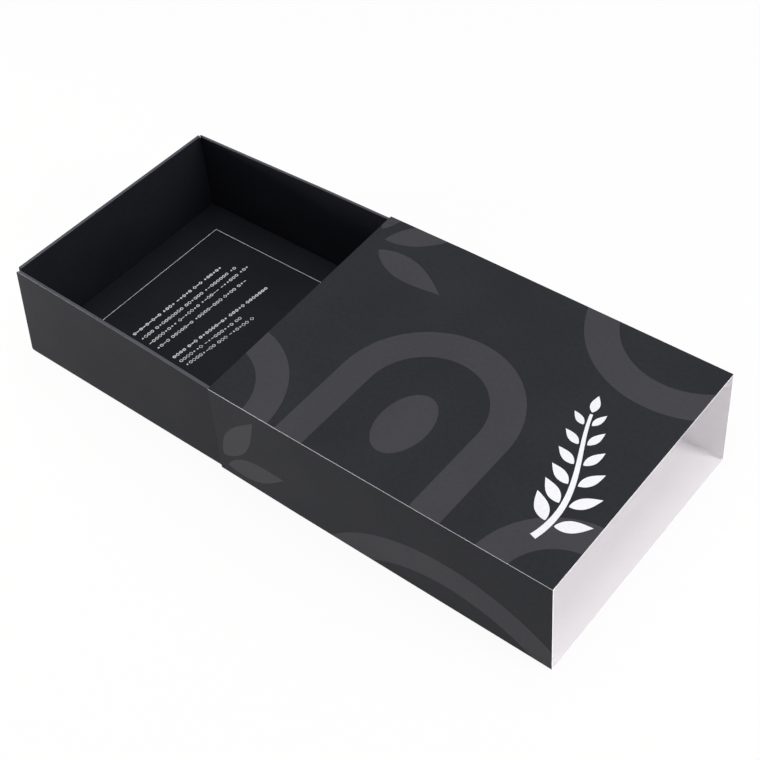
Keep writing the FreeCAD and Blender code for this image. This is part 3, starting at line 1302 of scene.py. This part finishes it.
@dataclass
class Platform:
    """The printed platform: a card whose four edges fold down into the legs that it stands on."""

    low: Vector
    high: Vector
    card: float
    fold_radius: float
    inset: float = 0.1 * MM
    cells: tuple[int, int] = (24, 16)
    fold_steps: int = 5
    frame_inset: Place = (19.0 * MM, 16.9 * MM, 0.0)
    frame_line: float = 0.25 * MM
    bead: float = 2.1 * MM
    row_start: float = -35.4 * MM

    # Each row's start from the pull end, its slope and the y that it ends at, in mm, and its line's weight.
    ROWS = (
        (42.2, 2.3, 33.6, 0.31),
        (48.6, 3.0, 36.4, 0.23),
        (54.8, 2.3, 43.0, 0.23),
        (61.0, 3.2, 32.8, 0.23),
        (73.3, 5.2, 35.5, 0.31),
        (78.5, 4.2, 8.3, 0.2),
        (83.2, 5.3, 11.7, 0.2),
    )

    @classmethod
    def from_frame(cls) -> "Platform":
        """Reads the platform's sizes off its packed panel and legs."""
        panel_low, panel_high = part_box("platform_panel")
        front_low, pull_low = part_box("platform_leg_front")[0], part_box("platform_leg_pull_end")[0]
        back_high, inner_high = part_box("platform_leg_back")[1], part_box("platform_leg_inner_end")[1]
        return cls(
            low=Vector((pull_low.x, front_low.y, front_low.z)),
            high=Vector((inner_high.x, back_high.y, panel_high.z)),
            card=panel_high.z - panel_low.z,
            fold_radius=panel_low.y - front_low.y,
        )

    def build(self) -> None:
        """Makes the folded card and its print: a thin line frame and rows of beads."""
        nodes = ["platform_panel", *(f"platform_leg_{side.word}" for side in Side)]
        hand_over(self._card(), Body.DRAWER, nodes)
        inset, half = Vector(self.frame_inset), self.frame_line / 2
        outlines = [rectangle(self.low + inset, self.high - inset, out) for out in (half, -half)]
        outlines += [outline for row in self._rows() for outline in row.outlines()]
        hand_over(ink_film("platform_print", outlines, self.high.z), Body.DRAWER)

    def _card(self) -> Piece:
        """The card: a panel from a grid, its four edges spun over and run down to the floor."""
        size, middle, top = self.high - self.low, (self.high + self.low) / 2, self.high.z
        reach = self.fold_radius + self.inset
        columns, rows = self.cells
        card = added(
            "platform_card",
            bpy.ops.mesh.primitive_grid_add,
            x_subdivisions=columns,
            y_subdivisions=rows,
            size=1,
            location=(middle.x, middle.y, top),
        )
        card.scale = (size.x - 2 * reach, size.y - 2 * reach, 1)
        apply_place(card)
        down = {"value": (0, 0, self.fold_radius - size.z)}
        for axis, sign in ((0, -1), (0, 1), (1, -1), (1, 1)):
            edge = (self.low if sign < 0 else self.high)[axis] - sign * reach
            centre = [0.0, 0.0, top - self.fold_radius]
            centre[axis] = edge
            spin_axis, turn = ((1, 0, 0), sign) if axis else ((0, 1, 0), -sign)
            angle = math.radians(90 * turn)
            with editing(card, lambda v: abs(v.co[axis] - edge) < WELD and abs(v.co.z - top) < WELD):
                bpy.ops.mesh.spin(steps=self.fold_steps, angle=angle, center=centre, axis=spin_axis)
                bpy.ops.mesh.extrude_region_move(TRANSFORM_OT_translate=down)
        merge_doubles(card)
        dress(card, *PLATFORM_FACES)
        thicken(card, self.card)
        smooth_folds(card)
        return card

    def _rows(self) -> list[BeadRow]:
        """Four rows of beads, a space, and three more, each with its own slope and length."""
        rows = []
        for number, (inset, slope, end, weight) in enumerate(self.ROWS):
            start = (self.low.x + inset * MM, self.row_start)
            finish = (self.low.x + (inset + slope) * MM, end * MM)
            rows.append(BeadRow(start, finish, self.bead, weight, number))
        return rows


# Studio


def aimed(name: str, data: bpy.types.ID, place: Place, target: Place, roll: float = 0.0) -> Piece:
    """Stands a lamp or a camera in the scene.

    Args:
        name: What it is called.
        data: The lamp or the camera.
        place: Where it stands.
        target: The point that it looks at.
        roll: How far it is turned about its own axis, in degrees.

    Returns:
        Its object.
    """
    holder = bpy.data.objects.new(name, data)
    holder.location = place
    level = (Vector(target) - Vector(place)).to_track_quat("-Z", "Y").to_matrix()
    holder.rotation_euler = (level @ Matrix.Rotation(math.radians(roll), 3, "Z")).to_euler()
    bpy.context.scene.collection.objects.link(holder)
    return holder


def white_where_seen(
    tree: bpy.types.NodeTree, kinds: tuple[str, str], share: float, lit: bpy.types.Node
) -> None:
    """Ends a tree in a mix: white to the camera, in reflections and through glass, and else the lit shader.

    Args:
        tree: The node tree.
        kinds: The kind of the white shader, and of the output.
        share: How much of what is seen is white.
        lit: The shader that gives or takes the light.
    """
    path = add_node(tree, "LightPath")
    seen = path.outputs["Is Camera Ray"]
    for ray in ("Is Glossy Ray", "Is Transmission Ray"):
        seen = add_node(tree, "Math", {0: seen, 1: path.outputs[ray]}, operation="MAXIMUM").outputs[0]
    part = add_node(tree, "Math", {0: seen, 1: share}, operation="MULTIPLY")
    white = add_node(tree, kinds[0], {"Color": linear("ffffff"), "Strength": 1.0})
    add_node(tree, kinds[1], {"Surface": add_node(tree, "MixShader", {0: part, 1: lit, 2: white})})


@dataclass(frozen=True)
class Softbox:
    """A square area lamp, aimed at a point."""

    name: str
    place: Place
    target: Place
    size: float
    power: float
    colour: str = "ffffff"

    def build(self) -> None:
        """Adds the lamp."""
        lamp = bpy.data.lights.new(self.name, "AREA")
        lamp.shape = "SQUARE"
        lamp.size = self.size
        lamp.energy = self.power
        lamp.color = linear(self.colour)[:3]
        aimed(self.name, lamp, self.place, self.target).visible_camera = False


@dataclass(frozen=True)
class Studio:
    """A pale table in an even room, three soft lamps, and the camera above the open end."""

    camera_place: Place = (370.9 * MM, -370.5 * MM, 565.5 * MM)
    camera_target: Place = (12.9 * MM, 5.8 * MM, 20.0 * MM)
    camera_roll: float = -6.4
    lens: float = 69.2
    sensor: float = 36.0
    clip_start: float = 0.01
    room_level: float = 0.38
    room_colour: str = "f6f8ff"
    table_colour: str = "f0eeeb"
    table_roughness: float = 0.7
    table_specular: float = 0.2
    table_white: float = 0.93
    table_size: float = 6.0
    table_drop: float = 0.2 * MM
    lamps: tuple[Softbox, ...] = (
        Softbox("key_softbox", (1.5, 0.25, 0.62), (0.0, 0.0, 0.03), 0.8, 20.0),
        Softbox("top_softbox", (0.0, 0.0, 1.4), (0.0, 0.0, 0.03), 1.0, 8.5),
        Softbox("fill_softbox", (-0.5, -0.25, 0.07), (-0.16, -0.07, 0.04), 0.1, 2.5, "fffaf6"),
    )

    def build(self) -> None:
        """Adds the room's light, the table, the camera and the lamps."""
        bpy.context.scene.view_settings.view_transform = "Standard"
        self._room()
        self._table()
        self._camera()
        for lamp in self.lamps:
            lamp.build()

    def _room(self) -> None:
        """An even light from all round, white where it is seen."""
        world = bpy.data.worlds.new("white_room")
        tree = emptied(world)
        light = add_node(tree, "Background", {"Color": linear(self.room_colour), "Strength": self.room_level})
        white_where_seen(tree, ("Background", "OutputWorld"), 1.0, light)
        bpy.context.scene.world = world

    def _table(self) -> None:
        """A pale laminate table top, nearly white where it is seen, which keeps the box's shadow."""
        plane = bpy.ops.mesh.primitive_plane_add
        table = added("studio_table", plane, size=self.table_size, location=(0, 0, -self.table_drop))
        apply_place(table)
        material = bpy.data.materials.new("pale_laminate_table")
        tree = emptied(material)
        surface = {
            "Base Color": linear(self.table_colour),
            "Roughness": self.table_roughness,
            "Specular IOR Level": self.table_specular,
        }
        top = add_node(tree, "BsdfPrincipled", surface)
        white_where_seen(tree, ("Emission", "OutputMaterial"), self.table_white, top)
        table.data.materials.append(material)

    def _camera(self) -> None:
        """The camera: a short telephoto, rolled a few degrees, looking down on the open end."""
        lens = bpy.data.cameras.new("camera")
        lens.lens = self.lens
        lens.sensor_width = self.sensor
        lens.clip_start = self.clip_start
        camera = aimed("camera", lens, self.camera_place, self.camera_target, self.camera_roll)
        bpy.context.scene.camera = camera


def main() -> None:
    """Builds the sleeve, the tray, the platform and the studio, in that order."""
    logging.basicConfig(level=logging.INFO, format="%(name)s: %(message)s")
    for assembly in (Sleeve.from_frame(), Tray.from_frame(), Platform.from_frame(), Studio()):
        assembly.build()
        log.info("%s built", type(assembly).__name__)


if __name__ == "__main__":
    main()
